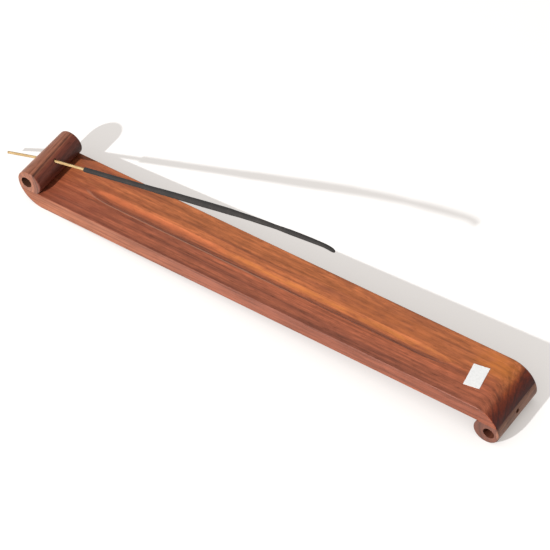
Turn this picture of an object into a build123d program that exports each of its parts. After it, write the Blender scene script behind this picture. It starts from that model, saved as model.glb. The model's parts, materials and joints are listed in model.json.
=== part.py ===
from build123d import *
import math
import os

# Incense stick holder: a flat sheesham board with a scroll roll glued on top of its heel end
# and an equal roll glued under its foot end, holding one incense stick that slides in a slant hole.
# Lengths in millimetres, angles in degrees.

# Board
holder_length = 305.0  # over both scrolls
board_width = 38.0
board_thickness = 9.6
edge_ease = 0.6  # sanded round along the outline of both sides

# Ash groove along the top of the board
groove_width = 7.4
groove_depth = 1.0
groove_aside = -0.9  # from the middle of the board's width
groove_from_heel = 34.7  # its ends, from the ends of the holder
groove_from_foot = 39.1
groove_run_out = 19.0  # the floor rises to the top over this length at both ends
groove_lip = 0.25  # sanded round along its rim

# Scroll rolls, both alike
roll_diameter = 15.0
roll_flat_depth = 1.7  # planed off the round where the roll is glued to the board
eye_diameter = 6.6  # bore along each roll
eye_offset = 1.7  # the bore lies this far outward of the roll's axis

# Stick holes across the rolls
stick_clearance = 0.5  # all round the bare stick
stick_angle = 18.7  # slope of both holes to the board
upper_hole_rise = 3.1  # the hole passes this far above the upper roll's axis
lower_hole_rise = 0.0
upper_hole_aside = -1.3  # from the middle of the board's width
lower_hole_aside = 0.0

# Incense stick
core_diameter = 1.65  # split bamboo
coat_thickness = 0.58  # charcoal paste round the bamboo, rolled on by hand
swell_thickness = 1.15  # where most of it was rolled on
tip_thickness = 0.48
paste_gap = 0.05  # between the bamboo and the dried paste
tail_length = 29.4  # bare bamboo behind the roll's axis
bend_inset = 4.8  # the bamboo starts to bend this far inside the hole's front mouth
bend_length = 6.0
bend_angle = 6.2
bare_front_length = 19.0  # bare bamboo between the bend and the paste
coat_straight_length = 91.0
plain_share = 0.42  # of the straight length: the paste swells from here
swell_share = 0.88  # of the straight length: it is thickest here
sag_length = 75.0  # the coated end sags over this length
sag_angle = 9.0
neck_share = 0.45  # of the sagging length: back to the plain thickness
coat_section_count = 16
coat_tip_length = 1.6  # paste beyond the end of the bamboo
coat_tip_round = 1.05

# Paper label on top of the board
label_width = 8.9
label_length = 14.7
label_thickness = 0.12
label_turn = 9.8
label_from_foot = 24.2  # its middle, from the foot end of the holder
label_aside = -1.2

# Places where it stands, levelled on abrasive paper
rest_flat_depth = 0.2

# Cuts run past the faces they cut by this much
overrun = 4.0

# Scroll geometry, in the board's own frame: X along the board from the upper roll's axis,
# Z square to the board from its top face
roll_radius = roll_diameter / 2
axis_rise = roll_radius - roll_flat_depth
axis_span = holder_length - roll_diameter
scroll_radius = board_thickness + axis_rise  # the board's rounded end, tangent to the roll's outer side
scroll_x = scroll_radius - roll_radius
chord_half = math.sqrt(roll_radius**2 - axis_rise**2)
tip_reach = math.sqrt(scroll_radius**2 - axis_rise**2) - scroll_x
half_width = board_width / 2

# One scroll end of the outline: the roll with the rounded board end below it
crease_angle = math.degrees(math.asin(axis_rise / roll_radius))
tip_angle = math.degrees(math.asin(axis_rise / scroll_radius))
roll_outline = Curve() + [
    Line((-tip_reach, 0), (chord_half, 0)),
    CenterArc((0, axis_rise), roll_radius, -crease_angle, 180 + crease_angle),
    CenterArc((scroll_x, axis_rise), scroll_radius, 180, tip_angle),
]
board_outline = Curve() + [
    Line((-tip_reach, 0), (axis_span - scroll_x, 0)),
    CenterArc((axis_span - scroll_x, -scroll_radius), scroll_radius, 90, tip_angle - 90),
    Line((axis_span + tip_reach, -board_thickness), (scroll_x, -board_thickness)),
    CenterArc((scroll_x, axis_rise), scroll_radius, 270, tip_angle - 90),
]
board_middle = (axis_span / 2, -board_thickness / 2)
upper_face = make_face(roll_outline)
lower_face = Pos(*board_middle) * Rot(0, 0, 180) * Pos(-board_middle[0], -board_middle[1]) * upper_face
holder_face = upper_face + make_face(board_outline) + lower_face

# The glued-up holder, with its side edges sanded round in one go
holder = extrude(Plane.XZ * holder_face, half_width, both=True)
side_faces = holder.faces().filter_by(Axis.Y)
holder = fillet(side_faces.edges(), edge_ease)


def slab(low, high):
    size = (holder_length + overrun, board_width + overrun, high - low)
    return Pos(axis_span / 2, 0, (low + high) / 2) * Box(*size)


# The three wooden pieces part at the glue faces
roll_room = roll_diameter + overrun
board = holder & slab(-board_thickness, 0)
upper_roll = holder & slab(0, roll_room)
lower_roll = holder & slab(-board_thickness - roll_room, -board_thickness)


def long_plane(aside):
    return Plane((0, aside, 0), x_dir=(1, 0, 0), z_dir=(0, -1, 0))


def rod(path, diameter):
    start = Plane(path @ 0, z_dir=path % 0)
    return sweep(start * Circle(diameter / 2), path=path)


# The groove's round section sinks along a level run and rises out along an arc at both ends
groove_radius = (groove_width**2 / 4 + groove_depth**2) / (2 * groove_depth)
rise_radius = (groove_run_out**2 + groove_depth**2) / (2 * groove_depth)
rise_angle = math.degrees(math.acos(1 - (groove_depth + overrun) / rise_radius))
level_start = groove_from_heel - roll_radius + groove_run_out
level_end = axis_span + roll_radius - groove_from_foot - groove_run_out
groove_height = groove_radius - groove_depth
rise_centre = groove_height + rise_radius - groove_radius
groove_run = Curve() + [
    CenterArc((level_start, rise_centre), rise_radius - groove_radius, 270 - rise_angle, rise_angle),
    Line((level_start, groove_height), (level_end, groove_height)),
    CenterArc((level_end, rise_centre), rise_radius - groove_radius, 270, rise_angle),
]
plain_board = board
groove_path = long_plane(groove_aside) * groove_run
board -= rod(groove_path.wire(), 2 * groove_radius)
rim = new_edges(plain_board, combined=board).group_by(Axis.Z)[-1]
board = fillet(rim, groove_lip)


def bore_along(centre_x, centre_z, diameter):
    return Pos(centre_x, 0, centre_z) * Rot(90, 0, 0) * Cylinder(diameter / 2, board_width + overrun)


def bore_across(middle, diameter):
    return Pos(*middle) * Rot(0, 90 - stick_angle, 0) * Cylinder(diameter / 2, roll_diameter + 2 * overrun)


# Point of each stick hole's axis that is nearest to its roll's axis
slope = math.radians(stick_angle)
upper_hole_middle = (
    -upper_hole_rise * math.sin(slope),
    upper_hole_aside,
    axis_rise + upper_hole_rise * math.cos(slope),
)
lower_hole_middle = (
    axis_span - lower_hole_rise * math.sin(slope),
    lower_hole_aside,
    -board_thickness - axis_rise + lower_hole_rise * math.cos(slope),
)
stick_hole_diameter = core_diameter + 2 * stick_clearance
upper_roll -= bore_along(-eye_offset, axis_rise, eye_diameter)
upper_roll -= bore_across(upper_hole_middle, stick_hole_diameter)
lower_roll -= bore_along(axis_span + eye_offset, -board_thickness - axis_rise, eye_diameter)
lower_roll -= bore_across(lower_hole_middle, stick_hole_diameter)

# Incense stick: straight tail through the hole, a bend at its mouth, then straight until the end sags
hole_half = math.sqrt(roll_radius**2 - upper_hole_rise**2)
bend_from = hole_half - bend_inset
along = (math.cos(slope), math.sin(slope))
stick_start = (upper_hole_middle[0], upper_hole_middle[2])
tail_end = (stick_start[0] - tail_length * along[0], stick_start[1] - tail_length * along[1])
bend_start = (stick_start[0] + bend_from * along[0], stick_start[1] + bend_from * along[1])
bend_radius = bend_length / math.radians(bend_angle)
sag_radius = sag_length / math.radians(sag_angle)
core_sag_angle = sag_angle * (sag_length - coat_tip_length) / sag_length
tail_run = Line(tail_end, bend_start)
bend_run = JernArc(bend_start, tail_run % 1, bend_radius, -bend_angle)
front_length = bare_front_length + coat_straight_length
front_run = Line(bend_run @ 1, bend_run @ 1 + front_length * (bend_run % 1))
coat_run = Line(front_run @ (bare_front_length / front_length), front_run @ 1)
coat_sag_run = JernArc(coat_run @ 1, coat_run % 1, sag_radius, -sag_angle)
core_sag_run = JernArc(coat_run @ 1, coat_run % 1, sag_radius, -core_sag_angle)
stick_plane = long_plane(upper_hole_aside)
core_path = stick_plane * (Curve() + [tail_run, bend_run, front_run, core_sag_run])
stick_core = rod(core_path.wire(), core_diameter)


coat_length = coat_straight_length + sag_length
coat_knots = [
    (0, coat_thickness),
    (plain_share * coat_straight_length, coat_thickness),
    (swell_share * coat_straight_length, swell_thickness),
    (coat_straight_length + neck_share * sag_length, coat_thickness),
    (coat_length, tip_thickness),
]


def coat_thickness_at(place):
    spans = zip(coat_knots, coat_knots[1:])
    (start, first), (end, last) = next(span for span in spans if place <= span[1][0])
    return first + (last - first) * (place - start) / (end - start)


def coat_section(share):
    place = share * coat_length
    beyond = place - coat_straight_length
    run, run_share = (coat_run, place / coat_straight_length) if beyond < 0 else (coat_sag_run, beyond / sag_length)
    radius = core_diameter / 2 + coat_thickness_at(place)
    section = Plane(run @ run_share, x_dir=(0, 0, 1), z_dir=run % run_share) * Circle(radius)
    return stick_plane * section


stick_coat = loft([coat_section(i / coat_section_count) for i in range(coat_section_count + 1)], ruled=True)
coat_tip = stick_coat.faces().sort_by(Axis.X)[-1]
stick_coat = fillet(coat_tip.edges(), coat_tip_round)
stick_coat -= rod(core_path.wire(), core_diameter + 2 * paste_gap)

# Paper label, stuck flat
label_middle = (axis_span + roll_radius - label_from_foot, label_aside, label_thickness / 2)
label = Pos(*label_middle) * Rot(0, 0, label_turn) * Box(label_width, label_length, label_thickness)

# Resting pose: the board leans until its rounded heel and the lower roll stand on one level
centre_run = axis_span - scroll_x
centre_drop = board_thickness + 2 * axis_rise
centre_distance = math.hypot(centre_run, centre_drop)
lean = math.atan2(centre_drop, centre_run) - math.asin((scroll_radius - roll_radius) / centre_distance)
heel_x = scroll_x - (scroll_radius - rest_flat_depth) * math.sin(lean)
heel_z = axis_rise - (scroll_radius - rest_flat_depth) * math.cos(lean)
to_rest = Rot(0, -math.degrees(lean), 0) * Pos(-heel_x, 0, -heel_z)
floor_block = Pos(axis_span / 2, 0, -overrun / 2) * Box(holder_length + overrun, board_width + overrun, overrun)

pieces = {
    "board": to_rest * board - floor_block,
    "upper_roll": to_rest * upper_roll,
    "lower_roll": to_rest * lower_roll - floor_block,
    "label": to_rest * label,
    "stick_core": to_rest * stick_core,
    "stick_coat": to_rest * stick_coat,
}

os.makedirs("parts", exist_ok=True)
for name, piece in pieces.items():
    export_step(piece, f"parts/{name}.step")
    box = piece.bounding_box()
    print(name, round(piece.volume, 2), box.min, box.max)
print("lean", round(math.degrees(lean), 3), "foot at", round(centre_distance, 3))
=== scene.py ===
# %% [markdown]
# # An incense stick holder in sheesham
# A flat board ends in two small rolls, like a half-opened scroll. A shallow groove along its top catches
# the ash, and a slanted hole through the upper roll holds the stick over it.
# The solids come from the CAD model, at their real size. This lesson dresses them: it grows the wood's
# grain, builds the hand-rolled stick over its solids, and sets the table, the light and the camera.

# %% Load the solids
import json
import math

import bmesh
import bpy
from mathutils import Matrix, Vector, noise


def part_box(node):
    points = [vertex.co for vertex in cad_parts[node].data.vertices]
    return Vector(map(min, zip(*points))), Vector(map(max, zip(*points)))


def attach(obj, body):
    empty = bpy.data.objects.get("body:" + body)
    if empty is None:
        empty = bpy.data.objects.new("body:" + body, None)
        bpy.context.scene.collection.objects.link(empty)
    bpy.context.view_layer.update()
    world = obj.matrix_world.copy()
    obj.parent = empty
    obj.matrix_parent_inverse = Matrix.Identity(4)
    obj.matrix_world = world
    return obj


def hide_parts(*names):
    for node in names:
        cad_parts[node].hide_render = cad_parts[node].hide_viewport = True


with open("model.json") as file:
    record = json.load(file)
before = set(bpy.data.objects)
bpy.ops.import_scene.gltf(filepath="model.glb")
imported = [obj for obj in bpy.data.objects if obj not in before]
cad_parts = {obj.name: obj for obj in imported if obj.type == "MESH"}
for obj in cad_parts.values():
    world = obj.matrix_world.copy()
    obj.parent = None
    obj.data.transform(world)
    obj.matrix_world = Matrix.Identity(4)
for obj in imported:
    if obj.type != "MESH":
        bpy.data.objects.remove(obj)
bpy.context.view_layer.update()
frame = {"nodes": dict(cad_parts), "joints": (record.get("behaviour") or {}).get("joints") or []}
nodes = frame["nodes"]
MM = 0.001
print("nodes:", sorted(nodes))

# %% [markdown]
# ## Colours
# Colours are easiest to choose as the hex values of a paint program, but shaders work in linear light. One
# function turns one into the other, so every colour below can be read in a paint program.

# %% Hex to linear
def linear(hex_colour):
    channels = [int(hex_colour[i:i + 2], 16) / 255 for i in (1, 3, 5)]
    return [c / 12.92 if c <= 0.04045 else ((c + 0.055) / 1.055) ** 2.4 for c in channels] + [1.0]


print("a middle grey is", round(linear("#808080")[0], 3), "in linear light")

# %% [markdown]
# ## Nodes
# A material could be wired by hand in the shader editor. In a script, one small function adds a node, sets
# what is constant and links what comes from another node, so that each material reads as a list of steps.
# Two more start an empty material and put a finished one on its piece.

# %% Node and material helpers
def add(tree, kind, inputs=None, stops=None, **settings):
    node = tree.nodes.new("ShaderNode" + kind)
    for name, value in settings.items():
        setattr(node, name, value)
    for socket, value in (inputs or {}).items():
        if isinstance(value, bpy.types.NodeSocket):
            tree.links.new(value, node.inputs[socket])
        else:
            node.inputs[socket].default_value = value
    for i, (place, colour) in enumerate(stops or []):
        elements = node.color_ramp.elements
        stop = elements[i] if i < 2 else elements.new(place)
        stop.position = place
        stop.color = linear(colour) if isinstance(colour, str) else [colour] * 3 + [1.0]
    return node


def new_material(name):
    material = bpy.data.materials.new(name)
    material.use_nodes = True
    material.node_tree.nodes.clear()
    return material, material.node_tree


def dress(piece, material):
    piece.data.materials.clear()
    piece.data.materials.append(material)
    print(piece.name, "is dressed in", material.name)


# %% [markdown]
# ## Sheesham, grown as a solid
# Sheesham is Indian rosewood: a heavy, oily heartwood with bands from orange brown to purple brown, fine
# dark streaks and open pores. The pieces were sawn, sanded and rubbed with oil.
# A flat picture of grain would not turn the corner onto the end of the board. So the wood is grown as a
# solid: every point takes its colour from its distance to the pith, the tree's core. The top then shows
# long streaks, and the same rings run down the rounded end as curved bands, as on the real board.
# A trunk is never quite straight, so slow waves bend the rings before that distance is measured.

# %% Distance from the pith
wave_sizes = (150, 30, 30)


def grain(tree, place, sizes, detail, roughness=0.5):
    """Noise on a place in mm, with spots of these sizes in mm along X, Y and Z."""
    scaled = add(tree, "Mapping", {"Vector": place, "Scale": [1 / size for size in sizes]}).outputs[0]
    return add(tree, "TexNoise", {
        "Vector": scaled, "Scale": 1.0, "Detail": detail, "Roughness": roughness}).outputs


def pith_distance(tree, wood, pith, wander):
    wave = grain(tree, wood, wave_sizes, 2.0)["Color"]
    shift = add(tree, "VectorMath", {0: wave, 1: (0.5, 0.5, 0.5)}, operation="SUBTRACT").outputs[0]
    bent = add(tree, "VectorMath", {
        0: shift, 1: (0.0, wander, wander), 2: wood}, operation="MULTIPLY_ADD").outputs[0]
    from_pith = add(tree, "Mapping", {
        "Vector": bent, "Location": (0.0, -pith[0], -pith[1]), "Scale": (0.0, 1.0, 1.0)}).outputs[0]
    return bent, add(tree, "VectorMath", {0: from_pith}, operation="LENGTH").outputs["Value"]


print("waves along the grain, in mm:", wave_sizes)

# %% [markdown]
# ## Year bands
# Each year's wood has its own colour, and thin dark lines part the years. Blender's wave texture makes rings
# too, but all alike, so two colour ramps over the distance from the pith give both. A line shows its full depth
# only where it is cut across, at the end of a piece. On a face along the grain it is cut at a shallow slant and
# blurs, so it is held back there.

# %% Bands and lines by distance
line_along, line_across = 0.15, 1.0


def year_bands(tree, radius, across, rings, lines):
    first, last = rings[0][0], rings[-1][0]
    year = add(tree, "MapRange", {"Value": radius, "From Min": first, "From Max": last}).outputs[0]
    ramps = []
    for layer in (rings, lines):
        stops = [((r - first) / (last - first), value) for r, value in layer]
        ramps.append(add(tree, "ValToRGB", {"Fac": year}, stops=stops).outputs["Color"])
    depth = add(tree, "MapRange", {
        "Value": across, "To Min": line_along, "To Max": line_across}).outputs[0]
    line = add(tree, "Gamma", {"Color": ramps[1], "Gamma": depth}).outputs[0]
    return add(tree, "VectorMath", {0: ramps[0], 1: line}, operation="MULTIPLY").outputs[0]


print("lines keep", line_along, "of their depth along the grain")

# %% [markdown]
# ## Streaks
# Some streaks are a few millimetres wide and purplish, many are under a millimetre and dark or light, and
# short flecks break them up. They follow the rings, so their noise is laid out along the grain, across it
# and by the distance from the pith. A noise laid out straight would ignore the rings where they turn.

# %% Streaks along the rings
purple_sizes, purple_share = (140, 9, 2.6), 0.55
streak_sizes, streak_shades = (60, 2.6, 0.6), (0.62, 1.36)
fleck_sizes, fleck_shades = (9, 2.2, 1.8), (0.80, 1.20)


def streaked(tree, bent, radius, colour):
    split = add(tree, "SeparateXYZ", {0: bent}).outputs
    curved = add(tree, "CombineXYZ", {0: split["X"], 1: split["Y"], 2: radius}).outputs[0]
    broad, streak, fleck = (
        grain(tree, curved, sizes, detail, roughness=0.6)["Fac"]
        for sizes, detail in ((purple_sizes, 2.0), (streak_sizes, 4.0), (fleck_sizes, 2.0)))
    purple = add(tree, "MapRange", {
        "Value": broad, "From Min": 0.48, "From Max": 0.66, "To Max": purple_share}).outputs[0]
    colour = add(tree, "Mix", {0: purple, 6: colour, 7: linear("#6f3d2f")}, data_type="RGBA").outputs[2]
    for pattern, (dark, light) in ((streak, streak_shades), (fleck, fleck_shades)):
        shade = add(tree, "MapRange", {
            "Value": pattern, "From Min": 0.3, "From Max": 0.7, "To Min": dark, "To Max": light}).outputs[0]
        colour = add(tree, "VectorMath", {0: colour, "Scale": shade}, operation="SCALE").outputs[0]
    return colour, streak


print("streaks", streak_sizes, "and flecks", fleck_sizes, "in mm")

# %% [markdown]
# ## Pores
# The tree's open vessels are cut into dark dashes along the grain. They are too many to model, so a fine noise,
# stretched along the grain, is cut off at a height where only its peaks are left. The same peaks are used
# again below, because a pore is also duller and lower than the wood beside it.

# %% Pores
# Real pores are about 0.2 mm wide. A pixel covers half a millimetre, so they are drawn wider to show
pore_sizes, pore_shade = (5, 0.35, 0.35), 0.62


def porous(tree, wood, colour):
    dashes = grain(tree, wood, pore_sizes, 1.0)["Fac"]
    pore = add(tree, "MapRange", {
        "Value": dashes, "From Min": 0.60, "From Max": 0.72}, interpolation_type="SMOOTHSTEP").outputs[0]
    shade = add(tree, "MapRange", {"Value": pore, "To Min": 1.0, "To Max": pore_shade}).outputs[0]
    return add(tree, "VectorMath", {0: colour, "Scale": shade}, operation="SCALE").outputs[0], pore


print("pores", pore_sizes, "in mm")

# %% [markdown]
# ## The oiled wood
# Where the wood is cut across, its open vessels drink more oil and go darker. On the board's rounded foot this
# darkening is set strong enough to be painted shade as well, on the lower part that faces away from the lamp.
# The rest takes a thin coat, so the shader is a dull, low gloss: rougher inside the pores, with a bump so slight
# that it only breaks the highlight. A coat layer would suit varnish, but it would be too glassy for oil. What a
# single piece has of its own, such as painted shade inside a bore, comes in through marks.

# %% Sheesham material
satin, dull = 0.42, 0.7
end_grain_from = 0.42
grain_bump, grain_depth = 0.35, 0.06 * MM


def sheesham(name, along, pith, rings, lines, wander, end_tint, marks):
    """along turns the piece so that its grain lies on X. pith is (y, z) of the tree's core in that turned
    frame, in mm. rings lists (distance from the pith in mm, colour), and lines (distance, shade). wander
    is how far the waves spread the rings, in mm. end_tint is what the oil leaves of the colour where the
    wood is cut across, and on the board's foot also painted shade. marks adds what this piece has of its own."""
    material, tree = new_material(name)
    coords = add(tree, "TexCoord").outputs
    wood = add(tree, "Mapping", {
        "Vector": coords["Object"], "Rotation": along, "Scale": [1 / MM] * 3}).outputs[0]
    # How far the surface faces along the grain, X, and across it, Y and Z
    facing = add(tree, "Mapping", {"Vector": coords["Normal"], "Rotation": along}).outputs[0]
    facing = add(tree, "VectorMath", {0: facing}, operation="ABSOLUTE").outputs[0]
    facing = add(tree, "SeparateXYZ", {0: facing}).outputs

    bent, radius = pith_distance(tree, wood, pith, wander)
    colour = year_bands(tree, radius, facing["X"], rings, lines)
    colour, streak = streaked(tree, bent, radius, colour)
    colour, pore = porous(tree, wood, colour)
    # Darker where the surface faces along the grain: end grain that takes more oil, and on the board's foot also
    # painted shade
    drink = add(tree, "MapRange", {"Value": facing["X"], "From Min": end_grain_from}).outputs[0]
    drunk = add(tree, "Gamma", {"Color": linear(end_tint), "Gamma": drink}).outputs[0]
    colour = add(tree, "VectorMath", {0: colour, 1: drunk}, operation="MULTIPLY").outputs[0]
    colour = marks(tree, coords, wood, facing, colour)

    # Sanded and oiled wood gives the eye a soft, broad shine that its pores and streaks break up. The oil
    # soaks in and leaves no film, so the specular level is half the usual one
    rough = add(tree, "MapRange", {"Value": pore, "To Min": satin, "To Max": dull}).outputs[0]
    height = add(tree, "Math", {0: streak, 1: pore}, operation="SUBTRACT").outputs[0]
    bump = add(tree, "Bump", {
        "Height": height, "Strength": grain_bump, "Distance": grain_depth}).outputs[0]
    shader = add(tree, "BsdfPrincipled", {
        "Base Color": colour, "Roughness": rough, "Specular IOR Level": 0.25, "Normal": bump})
    add(tree, "OutputMaterial", {0: shader.outputs[0]})
    return material


print("satin roughness", satin, "and in the pores", dull)

# %% [markdown]
# ## The board's grain
# The board was sawn along the trunk, so its grain runs its whole length. It leans, with its heel on the table
# and its foot on the lower roll, and the grain leans with it. The lean is measured from the board's own top,
# the largest face that looks up, so that it can't disagree with the CAD model. The rings are the colours of
# this one board: a warm orange brown on the far half of its top, and purple brown towards the near side.

# %% Board lean and rings
upward = [face for face in nodes["board"].data.polygons if face.normal.z > 0]
widest = max(upward, key=lambda face: face.area)
lean = math.asin(abs(widest.normal.x))
top_height = widest.normal.dot(widest.center) / MM
board_pith_aside, board_pith_below = 22.0, 61.0 - top_height
board_rings = [
    (52.0, "#8a4c2e"), (57.4, "#a8603e"), (61.0, "#b86b40"), (63.5, "#b6683f"), (65.7, "#ab5e3d"),
    (68.0, "#a55c40"), (71.0, "#a25b40"), (73.0, "#8c4e38"), (74.5, "#774332"),
]
board_lines = [
    (52.0, 0.8), (57.6, 1.0), (58.5, 0.4), (59.5, 1.0), (61.0, 1.0), (61.7, 0.45), (62.6, 1.0),
    (64.9, 1.0), (65.7, 0.4), (66.7, 1.0), (68.0, 1.0), (68.6, 0.45), (69.5, 1.0), (74.5, 0.9),
]
print("the board leans by", round(math.degrees(lean), 2), "degrees")
print("square to the board, its top is", round(top_height, 2), "mm from the origin")

# %% [markdown]
# ## Patches on the top
# Rings alone make a board too even. This one is darker at the heel and has a few dark or golden patches. Two
# warm orange patches along the groove's far slope are a painted highlight where the lamp lights that slope, and
# a dark band beside the groove's near wall is partly the wood's own band and partly painted shade. All of them
# could be painted by hand onto an image. Here a patch is a soft box on the board instead, because that needs
# only a place and a colour. Two small functions give the box and the glaze.

# %% Soft boxes
def window(tree, value, start, end, soft):
    """1 from start to end, fading out over soft on either side."""
    rise = add(tree, "MapRange", {
        "Value": value, "From Min": start - soft, "From Max": start + soft}, interpolation_type="SMOOTHSTEP")
    fall = add(tree, "MapRange", {
        "Value": value, "From Min": end + soft, "From Max": end - soft}, interpolation_type="SMOOTHSTEP")
    return add(tree, "Math", {0: rise.outputs[0], 1: fall.outputs[0]}, operation="MULTIPLY").outputs[0]


def tint(tree, colour, hex_colour, *shares):
    share = shares[0]
    for other in shares[1:]:
        share = add(tree, "Math", {0: share, 1: other}, operation="MULTIPLY").outputs[0]
    return add(tree, "Mix", {0: share, 6: colour, 7: linear(hex_colour)}, data_type="RGBA").outputs[2]


# %% [markdown]
# ## Laying on the patches
# The patches go on one after another, like glazes. A mottle of a few millimetres breaks each of them up, so
# that it has no drawn edge and lets the streaks below show through.

# %% Patches of colour and painted light
# x and y from, to and softness in mm, colour and strength
top_patches_with_painted_light = [
    ((-60, 45, 45), (-30, 30, 1), "#90452e", 0.5),
    # Painted highlight: warm orange on the groove's far slope, where the lamp lights it
    ((26, 110, 12), (-0.4, 2.4, 1.3), "#cc6e44", 0.5),
    ((110, 248, 12), (-0.4, 2.4, 1.3), "#d07f3e", 0.5),
    # Partly the wood's dark band, partly painted shade in the groove beside its near wall
    ((150, 255, 30), (-4.1, -1.5, 0.8), "#6a3f33", 0.5),
    ((-10, 150, 40), (-18.9, -16.9, 1.0), "#693627", 0.65),
    ((29, 39, 8), (-13, -8.5, 3), "#6e3a2e", 0.45),
    ((262, 281, 7), (5, 17, 4), "#cc7833", 0.65),
    ((160, 245, 14), (14.5, 20, 1.2), "#7c4530", 0.5),
    ((180, 238, 12), (3, 12, 2), "#c4703e", 0.5),
]
mottle_sizes = (9, 2.5, 2.5)


def patched_top_with_painted_light(tree, wood, x, y, on_top, colour):
    mottle = grain(tree, wood, mottle_sizes, 2.0)["Fac"]
    mottle = add(tree, "MapRange", {"Value": mottle, "From Min": 0.25, "From Max": 0.6}).outputs[0]
    for along, aside, hex_colour, strength in top_patches_with_painted_light:
        there = add(tree, "Math", {
            0: window(tree, x, *along), 1: window(tree, y, *aside)}, operation="MULTIPLY").outputs[0]
        colour = tint(tree, colour, hex_colour, there, on_top, mottle, strength)
    return colour


print(len(top_patches_with_painted_light), "patches on the top")

# %% [markdown]
# ## A painted highlight on the groove's rim
# A pale line is painted along the near rim of the groove, as a highlight where the rim catches the lamp. The CAD
# model has cut the groove, but a material can't ask a solid where its edge is, so the groove's own sizes are
# repeated here in mm. The cutter's arc gives the rim's distance from the groove's axis, and the axis rises at
# both ends, where the groove runs out.

# %% Painted highlight on the rim
groove_level = (39.0, 232.2)
groove_aside, groove_depth, groove_radius, rise_radius = -0.9, 1.0, 7.345, 181.0
rim_inside, rim_outside, rim_soft = 0.08, 0.26, 0.12
near_wall = (-9.0, groove_aside - 0.6, 0.6)
rim_stretch, rim_highlight_strength = (20, 150, 25), 0.45


def painted_rim_highlight(tree, x, y, on_top, colour):
    before = add(tree, "Math", {0: groove_level[0], 1: x}, operation="SUBTRACT").outputs[0]
    after = add(tree, "Math", {0: x, 1: groove_level[1]}, operation="SUBTRACT").outputs[0]
    beyond = add(tree, "Math", {0: before, 1: after}, operation="MAXIMUM").outputs[0]
    beyond = add(tree, "Math", {0: beyond, 1: 0.0}, operation="MAXIMUM").outputs[0]
    squared = add(tree, "Math", {0: beyond, 1: beyond}, operation="MULTIPLY").outputs[0]
    height = add(tree, "Math", {
        0: squared, 1: 0.5 / rise_radius, 2: groove_radius - groove_depth},
        operation="MULTIPLY_ADD").outputs[0]
    sideways = add(tree, "Math", {0: y, 1: groove_aside}, operation="SUBTRACT").outputs[0]
    reach = add(tree, "CombineXYZ", {0: sideways, 1: height}).outputs[0]
    reach = add(tree, "VectorMath", {0: reach}, operation="LENGTH").outputs["Value"]
    rim = window(tree, reach, groove_radius - rim_inside, groove_radius + rim_outside, rim_soft)
    near, stretch = window(tree, y, *near_wall), window(tree, x, *rim_stretch)
    # The pale tint is a painted highlight along the near rim
    return tint(tree, colour, "#b48c76", rim, near, on_top, stretch, rim_highlight_strength)


print("the groove is level from", groove_level[0], "to", groove_level[1], "mm")

# %% [markdown]
# ## The sawn sides and their painted light
# The sides stay as the saw left them: drier and paler than the oiled top, and with a coarser grain. A ramp
# along the board sets the colour, and it is paler towards the heel: painted light, where the lamp lights the
# side more brightly. A noise stretched along the saw's path sets the marks. They are laid on by how far the
# surface faces sideways, so they fade round the rounded edges.

# %% Sides, with painted light towards the heel
side_length = 300.0
# Colours along the side, paler towards the heel as painted light from the lamp
side_colours_with_painted_light = [
    (0.0, "#8f5c43"), (0.13, "#8d5d47"), (0.35, "#7c4d3e"), (0.53, "#7c4a3b"), (0.85, "#714031"),
]
sawn_sizes, sawn_dark, sawn_light = (25, 4, 1.5), 0.62, 1.56
side_from, side_to, side_share = 0.45, 0.95, 0.6


def sides_with_painted_light(tree, wood, x, facing, colour):
    length = add(tree, "MapRange", {"Value": x, "From Min": 0.0, "From Max": side_length}).outputs[0]
    side = add(tree, "ValToRGB", {"Fac": length}, stops=side_colours_with_painted_light).outputs["Color"]
    sawn = grain(tree, wood, sawn_sizes, 3.0)["Fac"]
    shade = add(tree, "MapRange", {
        "Value": sawn, "From Min": 0.35, "From Max": 0.65, "To Min": sawn_dark, "To Max": sawn_light})
    side = add(tree, "VectorMath", {0: side, "Scale": shade.outputs[0]}, operation="SCALE").outputs[0]
    dry = add(tree, "MapRange", {
        "Value": facing["Y"], "From Min": side_from, "From Max": side_to, "To Max": side_share}).outputs[0]
    return add(tree, "Mix", {0: dry, 6: colour, 7: side}, data_type="RGBA").outputs[2]


print("saw marks, in mm:", sawn_sizes)

# %% [markdown]
# ## Dressing the board
# The board keeps the CAD model's own mesh, because its shape is right, and only its material is new. The marks
# go on in this order: first the top's colour with its painted highlight and shade, then the painted highlight
# on the rim, and last the sides, with painted light towards the heel.

# %% Board
top_below, top_above, top_soft = 2.5, 2.0, 0.5
# The end tint is strong enough to paint shade on the foot's lower part as well as darken its oiled end grain
board_wander, board_end_tint_and_shade = 0.8, "#703829"


def board_marks(tree, coords, wood, facing, colour):
    x, y, z = add(tree, "SeparateXYZ", {0: wood}).outputs
    on_top = window(tree, z, top_height - top_below, top_height + top_above, top_soft)
    colour = patched_top_with_painted_light(tree, wood, x, y, on_top, colour)
    colour = painted_rim_highlight(tree, x, y, on_top, colour)
    return sides_with_painted_light(tree, wood, x, facing, colour)


board_wood = sheesham(
    "sheesham_board", (0.0, lean, 0.0), (board_pith_aside, -board_pith_below),
    board_rings, board_lines, board_wander, board_end_tint_and_shade, board_marks)
dress(nodes["board"], board_wood)

# %% [markdown]
# ## The rolls
# Each roll is a block of the same wood, shaped round and glued on with its grain across the board, so it shows
# end grain to the near side. A drill went through it from end to end and left an eye, whose wall is painted
# dark as shade inside the hollow. Its ends were left almost without oil, so they stay drier and paler than the
# end of the board. Both marks depend on the roll, so this function makes the marks for one eye and one depth
# of painted shade.

# %% Marks on a roll
roll_radius, eye_radius, eye_offset = 7.5, 3.3, 1.7
end_from, end_share = 0.5, 0.2
eye_shade_inside, eye_shade_outside = 0.05, 0.2


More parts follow.
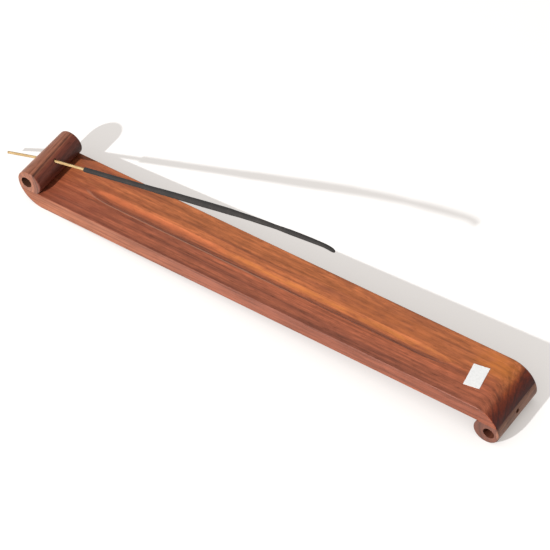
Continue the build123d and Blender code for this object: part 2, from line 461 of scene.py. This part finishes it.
def roll_marks(eye, painted_eye_shade):
    def marks(tree, coords, wood, facing, colour):
        dry = add(tree, "MapRange", {
            "Value": facing["X"], "From Min": end_from, "To Max": end_share}).outputs[0]
        colour = tint(tree, colour, "#9c7466", dry)
        # Paint shade on the eye's wall, darker inside the hollow
        from_eye = add(tree, "Mapping", {
            "Vector": coords["Object"], "Scale": (1 / MM, 0.0, 1 / MM),
            "Location": (-eye[0], 0.0, -eye[1])}).outputs[0]
        from_eye = add(tree, "VectorMath", {0: from_eye}, operation="LENGTH").outputs["Value"]
        shade = add(tree, "MapRange", {
            "Value": from_eye, "From Min": eye_radius + eye_shade_inside,
            "From Max": eye_radius + eye_shade_outside, "To Min": painted_eye_shade}).outputs[0]
        return add(tree, "VectorMath", {0: colour, "Scale": shade}, operation="SCALE").outputs[0]
    return marks


print("each eye is", 2 * eye_radius, "mm wide in a roll of", 2 * roll_radius, "mm")

# %% [markdown]
# ## Dressing the rolls
# The same wood function does for both rolls, with the grain turned by a little over a quarter turn. Each roll
# has its own rings, because they come from different places in the trunk. The lower roll is the upper one
# turned over, so one loop dresses both and aims the offsets of the lower one the other way.

# %% Rolls
upper_rings_with_painted_shade = [
    (3.0, "#96604a"), (9.0, "#a06a52"), (13.6, "#9d654d"), (15.9, "#965e47"), (16.35, "#4c2a1e"),
    # The outermost ring is painted darker as shade on the roll's right side, which faces away from the lamp
    (16.75, "#8f563f"), (17.3, "#7a3f2e"), (18.1, "#713729"), (20.0, "#533029"),
]
lower_rings = [
    (3.0, "#b07c64"), (6.0, "#a8745c"), (7.4, "#6c3e2f"), (13.0, "#6f402f"), (16.0, "#613527"),
    (20.0, "#583024"),
]
roll_lines = [(3.0, 1.0), (15.9, 1.0), (16.4, 0.55), (17.0, 0.6), (17.5, 1.0), (20.0, 1.0)]
roll_wander, roll_end_tint = 0.4, "#f4eeea"
pith_aside, pith_below = 11.7, 2.3
flat_depth = 0.2
grain_turn = math.radians(-92.6)
# Node, aim, rings, and the share of light that the painted shade in the eye leaves
rolls = [("upper_roll", 1, upper_rings_with_painted_shade, 0.3), ("lower_roll", -1, lower_rings, 0.8)]
for node_name, aim, rings, painted_eye_shade in rolls:
    low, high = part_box(node_name)
    axis_x = (low.x + high.x) / 2 / MM
    axis_z = high.z / MM - roll_radius if aim > 0 else roll_radius - flat_depth
    eye = (axis_x - aim * eye_offset * math.cos(lean), axis_z - aim * eye_offset * math.sin(lean))
    pith = (-(axis_x - aim * pith_aside), axis_z - aim * pith_below)
    roll_wood = sheesham(
        "sheesham_" + node_name, (0.0, 0.0, grain_turn), pith,
        rings, roll_lines, roll_wander, roll_end_tint, roll_marks(eye, painted_eye_shade))
    dress(nodes[node_name], roll_wood)

# %% [markdown]
# ## Paper label
# A small white label is stuck near the foot. It is bare, uncoated paper, with a faint mottle where the fibres
# lie closer. A plain white would look like plastic, so a noise varies its white and lifts its surface a touch.

# %% Paper
# A paper fibre is some 0.03 mm thick, too fine to show, so the mottle stands for clumps of fibres
clump_size = 1.2 * MM
paper, tree = new_material("paper")
coords = add(tree, "TexCoord").outputs["Object"]
fibres = add(tree, "TexNoise", {"Vector": coords, "Scale": 1 / clump_size, "Detail": 4.0}).outputs["Fac"]
white = add(tree, "ValToRGB", {"Fac": fibres}, stops=[(0.3, "#ecebe9"), (0.7, "#f6f5f3")]).outputs["Color"]
fibre_bump = add(tree, "Bump", {"Height": fibres, "Strength": 0.2, "Distance": 0.02 * MM}).outputs[0]
# Uncoated paper gives the eye an even, matt white with no glint
shader = add(tree, "BsdfPrincipled", {"Base Color": white, "Roughness": 0.8, "Normal": fibre_bump})
add(tree, "OutputMaterial", {0: shader.outputs[0]})
dress(nodes["label"], paper)

# %% [markdown]
# ## The stick's line
# The stick goes straight through its slanted hole, bends a little at the hole's mouth under the weight of its
# paste, runs straight again, and its heavy end sags. So its line is a few runs, straight or bent. The first
# direction comes from the joint that the stick slides on, and the tail's end from the box of the CAD splint.

# %% Runs of the stick
hole = Vector(frame["joints"][0]["axis"])
slope = math.atan2(hole.z, hole.x)
splint_low, splint_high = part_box("stick_core")
splint_radius = (splint_high.y - splint_low.y) / 2
tail = Vector((
    splint_low.x + splint_radius * math.sin(slope),
    splint_low.y + splint_radius,
    splint_low.z + splint_radius * math.cos(slope)))
tail_run = 31.43 * MM
bend_run, bend_turn = 6.0 * MM, math.radians(6.2)
bare_run = 19.0 * MM
paste_straight = 91.0 * MM
sag_run, sag_turn = 75.0 * MM, math.radians(9.0)
stick_runs = (
    (tail_run, 0.0), (bend_run, bend_turn), (bare_run + paste_straight, 0.0), (sag_run, sag_turn))
paste_run = paste_straight + sag_run
paste_start = tail_run + bend_run + bare_run
paste_end = paste_start + paste_run
print("the stick is", round(paste_end / MM, 1), "mm long")

# %% [markdown]
# ## Walking along the stick
# A ring of points needs a place and a heading. This function walks the runs one after another, up to the
# distance that is asked for. A bent run is an arc, so its end is found from its chord. The printed tip should
# lie close to the end of the CAD paste's box.

# %% Place and heading
def stick_frame(s):
    """Place and heading at the distance s from the tail's end."""
    place, heading = tail.copy(), slope
    for length, turn in stick_runs:
        part = min(max(s, 0.0), length)
        s -= part
        angle = turn * part / length
        chord = part if angle == 0 else part * math.sin(angle / 2) / (angle / 2)
        middle = heading - angle / 2
        place += Vector((math.cos(middle), 0.0, math.sin(middle))) * chord
        heading -= angle
    return place, heading


def in_mm(place):
    return [round(c / MM, 2) for c in place]


print("stick tip at", in_mm(stick_frame(paste_end)[0]), "mm, CAD paste to", in_mm(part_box("stick_coat")[1]))

# %% [markdown]
# ## A skin round the stick
# Both the splint and the paste are long skins of rings on that line. A bevelled curve would be quicker, but it
# is the same all round. Here a function gives each ring's radius at every angle, so a ridge, a lump or a
# rounded end is a formula and not a modelled detail.

# %% Skin of rings
def skin(name, stations, sides, radius_at, drop_at=lambda s: 0.0):
    mesh = bmesh.new()
    rings = []
    for s in stations:
        place, heading = stick_frame(s)
        place.z -= drop_at(s)
        up = Vector((-math.sin(heading), 0.0, math.cos(heading)))
        ring = []
        for k in range(sides):
            angle = 2 * math.pi * k / sides
            out = up * math.cos(angle) + Vector((0.0, 1.0, 0.0)) * math.sin(angle)
            ring.append(mesh.verts.new(place + out * radius_at(s, angle)))
        rings.append(ring)
    for near, far in zip(rings, rings[1:]):
        for k in range(sides):
            mesh.faces.new((near[k - 1], near[k], far[k], far[k - 1]))
    mesh.faces.new(rings[0])
    mesh.faces.new(reversed(rings[-1]))
    bmesh.ops.recalc_face_normals(mesh, faces=mesh.faces)
    for face in mesh.faces:
        face.smooth = len(face.verts) == 4
    data = bpy.data.meshes.new(name)
    mesh.to_mesh(data)
    mesh.free()
    piece = bpy.data.objects.new(name, data)
    bpy.context.scene.collection.objects.link(piece)
    print(name, len(data.polygons), "faces")
    return piece


# %% [markdown]
# ## Bamboo splint
# The stick's core is a splint of bamboo, split off with a knife and only roughly rounded, so it is a little
# square and has long ridges. It shows at the tail and in front of the hole, and ends hidden in the paste.
# A shape a few hundredths of a millimetre off round is enough to stop it looking like a wire.

# %% Splint shape
# Shares of the radius: how full the splint is, and how far its corners and ridges stand out
splint_fullness, corner_height, ridge_height = 0.96, 0.05, 0.06
corner_count, corner_turn = 4, 0.6
ridges_round, ridge_length = 3, 40 * MM


def splint_radius_at(s, angle):
    square = corner_height * math.cos(corner_count * angle + corner_turn)
    place = (ridges_round * math.cos(angle), ridges_round * math.sin(angle), s / ridge_length)
    ridges = ridge_height * noise.noise(Vector(place))
    return splint_radius * (splint_fullness + square + ridges)


splint_step, splint_sides, hidden_end = 1.5 * MM, 24, 5 * MM
splint_length = paste_end - hidden_end
splint_count = round(splint_length / splint_step)
splint_stations = [splint_length * i / splint_count for i in range(splint_count + 1)]
splint = skin("bamboo_splint", splint_stations, splint_sides, splint_radius_at)

# %% [markdown]
# ## Bamboo
# Bamboo has no rings, only straight bundles of pale fibre in a darker, softer wood. An image of bamboo would have
# to be unwrapped round the splint. A noise stretched along it needs only a direction, and the same noise lifts
# the bundles a little, as a knife leaves them.

# %% Bamboo on the splint
# Real bundles are about 0.2 mm wide, less than half a pixel, so they are drawn twice as wide
bundle_sizes = (9, 0.4, 0.4)
bamboo, tree = new_material("bamboo")
coords = add(tree, "TexCoord").outputs["Object"]
along_splint = add(tree, "Mapping", {
    "Vector": coords, "Rotation": (0.0, slope, 0.0), "Scale": [1 / MM] * 3}).outputs[0]
bundles = grain(tree, along_splint, bundle_sizes, 3.0)["Fac"]
straw = add(tree, "ValToRGB", {"Fac": bundles}, stops=[
    (0.3, "#8f6d3c"), (0.5, "#b09263"), (0.75, "#c6ab7c")]).outputs["Color"]
bundle_bump = add(tree, "Bump", {"Height": bundles, "Strength": 0.4, "Distance": 0.08 * MM}).outputs[0]
# Split bamboo gives the eye a dry straw colour with a faint sheen along its fibres
shader = add(tree, "BsdfPrincipled", {"Base Color": straw, "Roughness": 0.55, "Normal": bundle_bump})
add(tree, "OutputMaterial", {0: shader.outputs[0]})
dress(splint, bamboo)
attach(splint, "stick")
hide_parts("stick_core")

# %% [markdown]
# ## Charcoal paste, its shape
# The paste is powdered charcoal and wood with a gum, rolled onto the splint by hand. So it is thicker in the
# middle and lumpy all over. It could be sculpted, but a short list of thicknesses along it gives the large
# shape, with a smooth step from each to the next.

# %% Girth of the paste
# Distance from the start of the paste and thickness there, both in mm
girth = [
    (0, 2.75), (36, 2.75), (46, 3.0), (56, 3.3), (66, 3.4), (82, 3.65), (99, 3.5), (107, 3.1), (118, 2.9),
    (129, 2.4), (139, 2.85), (150, 2.65), (159, 2.35), (166, 2.25),
]


def girth_at(place):
    for (start, first), (end, last) in zip(girth, girth[1:]):
        if place <= end:
            share = (place - start) / (end - start)
            return first + (last - first) * share * share * (3 - 2 * share)
    return girth[-1][1]


thicknesses = [thickness for _, thickness in girth]
print("the paste is", min(thicknesses), "to", max(thicknesses), "mm thick")

# %% [markdown]
# ## Lumps and rounded ends
# A broad noise gives the unevenness of the rolling hand, and a finer one the lumps. The paste starts with a
# small shoulder on the splint and ends in a blunt, rounded tip, so the radius follows a quarter circle there.

# %% Lumps and rounded ends
start_round, start_inset = 0.6 * MM, 0.45 * MM
end_round, tip_share = 2.4 * MM, 0.15
# Shares of the radius, and the size of a lump round the stick in mm and along it
paste_fullness, lump_height = 0.99, 0.03
rolled_round, rolled_along = 3, 9 * MM
lump_round, lump_along = 1.1, 1.3 * MM


def paste_radius_at(s, angle):
    from_start, from_end = s - paste_start, paste_end - s
    radius = girth_at(from_start / MM) / 2 * MM
    if from_start < start_round:
        gap = 1 - from_start / start_round
        radius -= start_inset * (1 - math.sqrt(max(0.0, 1 - gap * gap)))
    if from_end < end_round:
        gap = 1 - from_end / end_round
        radius *= tip_share + (1 - tip_share) * math.sqrt(max(0.0, 1 - gap * gap))
    place = Vector((math.cos(angle), math.sin(angle), 0.0)) * radius / MM
    rolled = noise.noise(place / rolled_round + Vector((0.0, 0.0, s / rolled_along)))
    lumps = noise.noise(place / lump_round + Vector((0.0, 0.0, s / lump_along)))
    return radius * (paste_fullness + lump_height * rolled + lump_height * lumps)


print("lumps of", lump_round, "mm, up to", lump_height, "of the radius high")

# %% [markdown]
# ## The drooping tip
# The last of the paste was still soft and hung down a little while it dried. The splint inside ends before it,
# so only the rings of the paste are lowered, more and more towards the tip.

# %% Paste with its drooping tip
soft_end, droop = 8 * MM, 1.5 * MM


def tip_droop(s):
    share = max(0.0, 1 - (paste_end - s) / soft_end)
    return droop * share * share


# The rings stand closer at both ends, where the paste is rounded
paste_step, paste_sides = 0.45 * MM, 28
paste_count = round(paste_run / paste_step)
stations = [paste_start + e * MM for e in (0.0, 0.06, 0.15, 0.3, 0.45)]
stations += [paste_start + paste_run * i / paste_count for i in range(2, paste_count - 3)]
stations += [paste_end - e * MM for e in (1.2, 0.8, 0.5, 0.25, 0.1, 0.0)]
coat = skin("charcoal_paste", stations, paste_sides, paste_radius_at, tip_droop)

# %% [markdown]
# ## Charcoal paste, its finish
# Dry charcoal is a warm, dusty black. A flat dark grey would pass from far off, but close by it looks like rubber,
# and pure black looks like a hole in the picture. So the colour stays a little above black and moves between
# grains of grit and broad smears from the rolling hand.

# %% Charcoal on the paste
# Real grit is under 0.1 mm, too fine to show, so it is drawn half a millimetre wide
grit_size, smear_size = 0.5 * MM, 6 * MM
paste, tree = new_material("charcoal_paste")
coords = add(tree, "TexCoord").outputs["Object"]
grit = add(tree, "TexNoise", {"Vector": coords, "Scale": 1 / grit_size, "Detail": 3.0}).outputs["Fac"]
smear = add(tree, "TexNoise", {"Vector": coords, "Scale": 1 / smear_size, "Detail": 2.0}).outputs["Fac"]
both = add(tree, "Math", {0: grit, 1: smear}, operation="ADD").outputs[0]
mean = add(tree, "Math", {0: both, 1: 0.5}, operation="MULTIPLY").outputs[0]
black = add(tree, "ValToRGB", {"Fac": mean}, stops=[
    (0.3, "#171514"), (0.55, "#25211f"), (0.75, "#39332f")]).outputs["Color"]
grit_bump = add(tree, "Bump", {"Height": grit, "Strength": 0.6, "Distance": 0.12 * MM}).outputs[0]
# Charcoal gives the eye a matt, grainy black that swallows the light
shader = add(tree, "BsdfPrincipled", {"Base Color": black, "Roughness": 0.85, "Normal": grit_bump})
add(tree, "OutputMaterial", {0: shader.outputs[0]})
dress(coat, paste)
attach(coat, "stick")
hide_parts("stick_coat")

# %% [markdown]
# ## Table
# The holder stands on a white table. It could be added with an operator, but one face on four corners says more
# plainly what it is. It isn't part of the object. It lies at a height of zero, where the CAD model has the two
# flats that the holder stands on.

# %% Table top
table_half = 4.0
table_mesh = bpy.data.meshes.new("table")
table_corners = [(x * table_half, y * table_half, 0) for x, y in ((-1, -1), (1, -1), (1, 1), (-1, 1))]
table_mesh.from_pydata(table_corners, [], [(0, 1, 2, 3)])
table = bpy.data.objects.new("table", table_mesh)
bpy.context.scene.collection.objects.link(table)
print("the table is", 2 * table_half, "m wide")

# %% [markdown]
# ## What is seen
# The table and the room are to look white without lighting the wood any more for it. Blender's light path says
# what kind of ray has hit a surface. Rays from the camera, and those in a gloss or through glass, are the ones
# that show something to the eye, so they get a look of their own.

# %% Rays that show
def seen_rays(tree):
    path = add(tree, "LightPath").outputs
    direct = add(tree, "Math", {
        0: path["Is Camera Ray"], 1: path["Is Glossy Ray"]}, operation="MAXIMUM").outputs[0]
    return add(tree, "Math", {0: direct, 1: path["Is Transmission Ray"]}, operation="MAXIMUM").outputs[0]


# %% [markdown]
# ## Table paint
# The camera should see a table that is just white where the lamp lights it and still keeps the holder's
# shadow. Stronger lamps would bleach the wood, so for rays that show, a little glow is added to the paint.
# The glow is dimmed close to the holder, where less of the room reaches the table, and far away it grows until
# the table ends in white. All other rays meet a plain grey paint, so the glow doesn't light the wood.

# %% Paint on the table
shade_reach, shade_curve = 0.06, 0.45
glow_near, glow_far = 0.605, 0.5
holder_middle, far_from, far_to = (0.14, 0.0, 0.0), 0.4, 1.4
table_paint, tree = new_material("table_paint")
plain = add(tree, "BsdfDiffuse", {"Color": linear("#b3b2b0")}).outputs[0]
open_room = add(tree, "AmbientOcclusion", {"Distance": shade_reach}, samples=16).outputs["AO"]
open_room = add(tree, "Math", {0: open_room, 1: shade_curve}, operation="POWER").outputs[0]
place = add(tree, "TexCoord").outputs["Object"]
away = add(tree, "VectorMath", {0: place, 1: holder_middle}, operation="DISTANCE").outputs["Value"]
fade = add(tree, "MapRange", {
    "Value": away, "From Min": far_from, "From Max": far_to, "To Max": glow_far},
    interpolation_type="SMOOTHSTEP").outputs[0]
brightness = add(tree, "Math", {0: open_room, 1: glow_near, 2: fade}, operation="MULTIPLY_ADD").outputs[0]
glow = add(tree, "Emission", {"Color": linear("#fff8f2"), "Strength": brightness}).outputs[0]
# Matt paint gives the eye an even white that takes a clear shadow
matt = add(tree, "BsdfDiffuse", {"Color": linear("#c4c4c4")}).outputs[0]
shown = add(tree, "AddShader", {0: matt, 1: glow}).outputs[0]
either = add(tree, "MixShader", {0: seen_rays(tree), 1: plain, 2: shown}).outputs[0]
add(tree, "OutputMaterial", {0: either})
dress(table, table_paint)

# %% [markdown]
# ## Lamp
# One lamp stands on the near side, a little beyond the heel, and throws a long, clear shadow to the far side.
# A sun lamp would do too, but a small disk also softens the shadow's edge where the stick is high above the
# table. It is aimed by turning its -Z axis, the way that every Blender lamp shines, towards the board.

# %% Lamp
lamp_place, lamp_target = Vector((-0.218, -1.8, 1.107)), Vector((0.13, 0.0, 0.02))
lamp_data = bpy.data.lights.new("lamp", "AREA")
lamp_data.shape = "DISK"
lamp_data.size = 0.045
lamp_data.energy = 60.0
lamp = bpy.data.objects.new("lamp", lamp_data)
lamp.location = lamp_place
lamp.rotation_euler = (lamp_target - lamp_place).to_track_quat("-Z", "Y").to_euler()
bpy.context.scene.collection.objects.link(lamp)
print("the lamp is", round((lamp_target - lamp_place).length, 2), "m away")

# %% [markdown]
# ## Room
# White walls all round fill the shadows, and a window on the near side makes that side brighter. The world
# stands for both: its light grows towards the window. A picture of a room would give more, but nothing here is
# glossy enough to show it. Where the world is seen it is plain white.

# %% Room
window_side = (-0.6, -0.8, 0.0)
fill_away, fill_window = 0.10, 0.54
world = bpy.data.worlds.new("room")
world.use_nodes = True
tree = world.node_tree
tree.nodes.clear()
towards = add(tree, "TexCoord").outputs["Generated"]
towards = add(tree, "VectorMath", {0: towards, 1: window_side}, operation="DOT_PRODUCT").outputs["Value"]
fill = add(tree, "MapRange", {
    "Value": towards, "From Min": -1.0, "To Min": fill_away, "To Max": fill_window}).outputs[0]
strength = add(tree, "Mix", {0: seen_rays(tree), 2: fill, 3: 1.0}).outputs[0]
room = add(tree, "Background", {"Color": linear("#ffffff"), "Strength": strength}).outputs[0]
add(tree, "OutputWorld", {0: room})
bpy.context.scene.world = world
print("the room's fill goes from", fill_away, "to", fill_window, "at the window")

# %% [markdown]
# ## Camera
# A long lens from a metre and a half away looks down on the near side, so the board's edges stay almost
# parallel. The camera is placed by its direction from the holder and its distance, which are easier to match
# to a photograph than a position. The Standard view transform shows colours as they are written.

# %% Camera
azimuth, elevation = math.radians(34.481), math.radians(48.906)
distance = 1.5554
look_at = Vector((0.1404, 0.0, 0.0179))
camera_data = bpy.data.cameras.new("camera")
camera_data.sensor_width = 36.0
camera_data.lens = 194.06
camera = bpy.data.objects.new("camera", camera_data)
level = math.cos(elevation)
back = Vector((math.sin(azimuth) * level, -math.cos(azimuth) * level, math.sin(elevation)))
camera.location = look_at + back * distance
camera.rotation_euler = back.to_track_quat("Z", "Y").to_euler()
bpy.context.scene.collection.objects.link(camera)
bpy.context.scene.camera = camera
bpy.context.scene.view_settings.view_transform = "Standard"
print("the camera is at", in_mm(camera.location), "mm")
